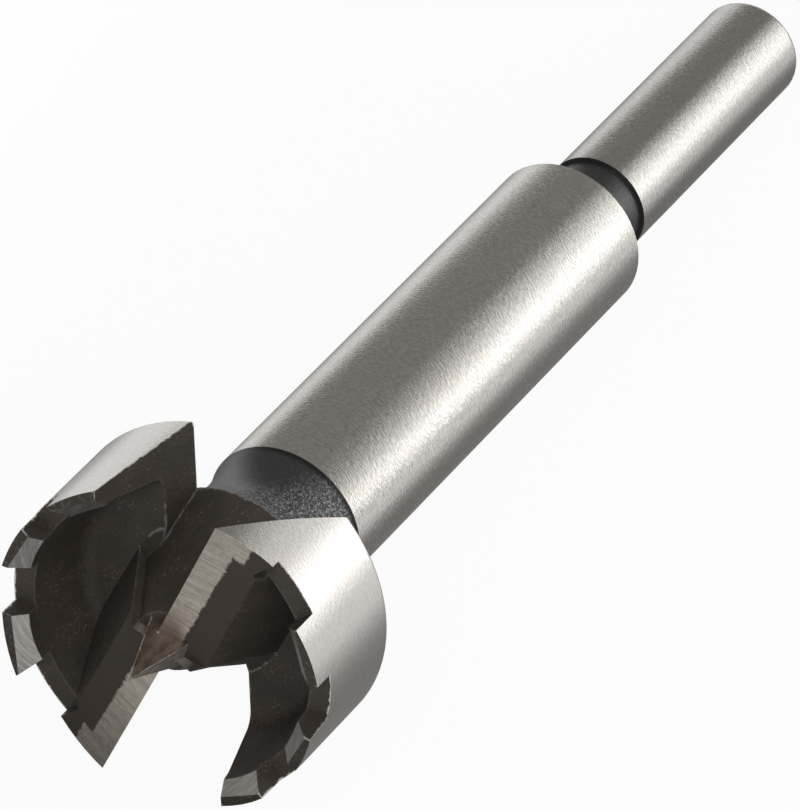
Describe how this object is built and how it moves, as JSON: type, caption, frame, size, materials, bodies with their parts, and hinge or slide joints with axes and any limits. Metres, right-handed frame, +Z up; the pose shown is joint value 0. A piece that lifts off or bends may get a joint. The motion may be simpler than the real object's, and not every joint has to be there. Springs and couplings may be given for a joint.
{
  "type": "forstner bit",
  "caption": "Steel forstner bit with a round shank, thick body, waisted neck and a cup-shaped head with toothed rim, cutting lips and centre spur.",
  "frame": {"origin": "middle of the lying bit's box, at the floor", "axes": "+X from the cutting head to the shank, +Z up"},
  "size_m": [0.0934, 0.025, 0.0244],
  "materials": {
    "tool_steel": "ground bright on shank, body, outer wall, lips and tooth bevels; black oxide in groove, neck and inside the head"
  },
  "bodies": {
    "root": {"forstner_bit": "tool_steel"}
  },
  "joints": []
}
